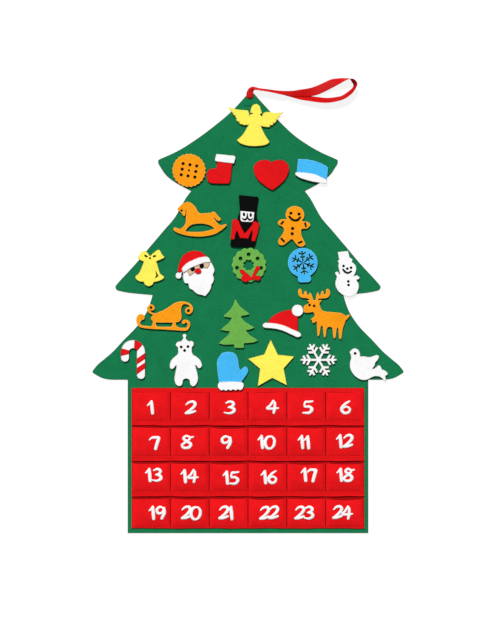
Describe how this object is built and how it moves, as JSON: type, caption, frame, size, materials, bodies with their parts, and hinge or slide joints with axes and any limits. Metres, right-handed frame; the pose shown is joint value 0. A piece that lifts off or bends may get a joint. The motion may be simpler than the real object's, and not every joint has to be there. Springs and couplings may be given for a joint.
{
  "type": "felt advent calendar",
  "caption": "Fir tree shaped felt wall hanging with rows of numbered pockets, a ribbon loop and lift-off felt ornaments.",
  "frame": {"origin": "middle of the felt sheet's outline, on the back of the green felt, with the ribbon left out", "axes": "+X to the right seen from the front, +Y up towards the tip of the tree, +Z out of the front; it lies on its back"},
  "size_m": [0.706, 1.0259, 0.0203],
  "materials": {
    "green_felt": "dense matt green felt",
    "red_felt": "dense matt red felt",
    "yellow_felt": "matt pale yellow felt",
    "orange_felt": "matt orange felt",
    "lime_felt": "matt leaf green felt",
    "blue_felt": "matt sky blue felt",
    "white_felt": "matt white felt",
    "black_felt": "matt black felt",
    "skin_felt": "matt light tan felt",
    "red_satin": "smooth satin ribbon"
  },
  "bodies": {
    "wall_hanging": {"tree_panel": "green_felt", "pocket_backing": "red_felt", "pocket_row_1": "red_felt", "pocket_row_2": "red_felt", "pocket_row_3": "red_felt", "pocket_row_4": "red_felt", "ribbon_hitch": "red_satin"},
    "ribbon": {"ribbon_loop": "red_satin"},
    "angel": {"angel": "yellow_felt"},
    "cookie": {"cookie": "orange_felt"},
    "stocking": {"stocking_boot": "red_felt", "stocking_cuff": "white_felt"},
    "heart": {"heart": "red_felt"},
    "cap": {"cap_band": "blue_felt", "cap_brim": "white_felt"},
    "rocking_horse": {"rocking_horse": "orange_felt"},
    "soldier": {"soldier_body": "black_felt", "soldier_coat": "red_felt", "soldier_face": "white_felt"},
    "gingerbread_man": {"gingerbread_man": "orange_felt"},
    "bell": {"bell": "yellow_felt"},
    "santa": {"santa_beard": "white_felt", "santa_face": "skin_felt", "santa_hat": "red_felt", "santa_trim": "white_felt", "santa_nose": "red_felt"},
    "wreath": {"wreath": "lime_felt", "wreath_bow": "red_felt"},
    "snow_globe": {"snow_globe": "blue_felt"},
    "snowman": {"snowman": "white_felt"},
    "sleigh": {"sleigh": "orange_felt"},
    "fir_tree": {"fir_tree": "lime_felt"},
    "hat": {"hat_cone": "red_felt", "hat_brim": "white_felt", "hat_pompom": "white_felt"},
    "reindeer": {"reindeer": "orange_felt"},
    "candy_cane": {"candy_cane": "white_felt", "candy_cane_stripe_1": "red_felt", "candy_cane_stripe_2": "red_felt", "candy_cane_stripe_3": "red_felt", "candy_cane_stripe_4": "red_felt"},
    "polar_bear": {"polar_bear": "white_felt"},
    "mitten": {"mitten": "blue_felt", "mitten_cuff": "white_felt"},
    "star": {"star": "yellow_felt"},
    "snowflake": {"snowflake": "white_felt"},
    "dove": {"dove": "white_felt"}
  },
  "joints": [
    {"name": "ribbon_swing", "type": "hinge", "parent": "wall_hanging", "child": "ribbon", "pos_m": [0.01, 0.5044, 0.0103], "axis": [0, 0, 1], "range_deg": [-12, 150]},
    {"name": "angel_lift", "type": "slide", "parent": "wall_hanging", "child": "angel", "axis": [0, 0, 1], "range_m": [0, 0.05]},
    {"name": "cookie_lift", "type": "slide", "parent": "wall_hanging", "child": "cookie", "axis": [0, 0, 1], "range_m": [0, 0.05]},
    {"name": "stocking_lift", "type": "slide", "parent": "wall_hanging", "child": "stocking", "axis": [0, 0, 1], "range_m": [0, 0.05]},
    {"name": "heart_lift", "type": "slide", "parent": "wall_hanging", "child": "heart", "axis": [0, 0, 1], "range_m": [0, 0.05]},
    {"name": "cap_lift", "type": "slide", "parent": "wall_hanging", "child": "cap", "axis": [0, 0, 1], "range_m": [0, 0.05]},
    {"name": "rocking_horse_lift", "type": "slide", "parent": "wall_hanging", "child": "rocking_horse", "axis": [0, 0, 1], "range_m": [0, 0.05]},
    {"name": "soldier_lift", "type": "slide", "parent": "wall_hanging", "child": "soldier", "axis": [0, 0, 1], "range_m": [0, 0.05]},
    {"name": "gingerbread_man_lift", "type": "slide", "parent": "wall_hanging", "child": "gingerbread_man", "axis": [0, 0, 1], "range_m": [0, 0.05]},
    {"name": "bell_lift", "type": "slide", "parent": "wall_hanging", "child": "bell", "axis": [0, 0, 1], "range_m": [0, 0.05]},
    {"name": "santa_lift", "type": "slide", "parent": "wall_hanging", "child": "santa", "axis": [0, 0, 1], "range_m": [0, 0.05]},
    {"name": "wreath_lift", "type": "slide", "parent": "wall_hanging", "child": "wreath", "axis": [0, 0, 1], "range_m": [0, 0.05]},
    {"name": "snow_globe_lift", "type": "slide", "parent": "wall_hanging", "child": "snow_globe", "axis": [0, 0, 1], "range_m": [0, 0.05]},
    {"name": "snowman_lift", "type": "slide", "parent": "wall_hanging", "child": "snowman", "axis": [0, 0, 1], "range_m": [0, 0.05]},
    {"name": "sleigh_lift", "type": "slide", "parent": "wall_hanging", "child": "sleigh", "axis": [0, 0, 1], "range_m": [0, 0.05]},
    {"name": "fir_tree_lift", "type": "slide", "parent": "wall_hanging", "child": "fir_tree", "axis": [0, 0, 1], "range_m": [0, 0.05]},
    {"name": "hat_lift", "type": "slide", "parent": "wall_hanging", "child": "hat", "axis": [0, 0, 1], "range_m": [0, 0.05]},
    {"name": "reindeer_lift", "type": "slide", "parent": "wall_hanging", "child": "reindeer", "axis": [0, 0, 1], "range_m": [0, 0.05]},
    {"name": "candy_cane_lift", "type": "slide", "parent": "wall_hanging", "child": "candy_cane", "axis": [0, 0, 1], "range_m": [0, 0.05]},
    {"name": "polar_bear_lift", "type": "slide", "parent": "wall_hanging", "child": "polar_bear", "axis": [0, 0, 1], "range_m": [0, 0.05]},
    {"name": "mitten_lift", "type": "slide", "parent": "wall_hanging", "child": "mitten", "axis": [0, 0, 1], "range_m": [0, 0.05]},
    {"name": "star_lift", "type": "slide", "parent": "wall_hanging", "child": "star", "axis": [0, 0, 1], "range_m": [0, 0.05]},
    {"name": "snowflake_lift", "type": "slide", "parent": "wall_hanging", "child": "snowflake", "axis": [0, 0, 1], "range_m": [0, 0.05]},
    {"name": "dove_lift", "type": "slide", "parent": "wall_hanging", "child": "dove", "axis": [0, 0, 1], "range_m": [0, 0.05]}
  ]
}
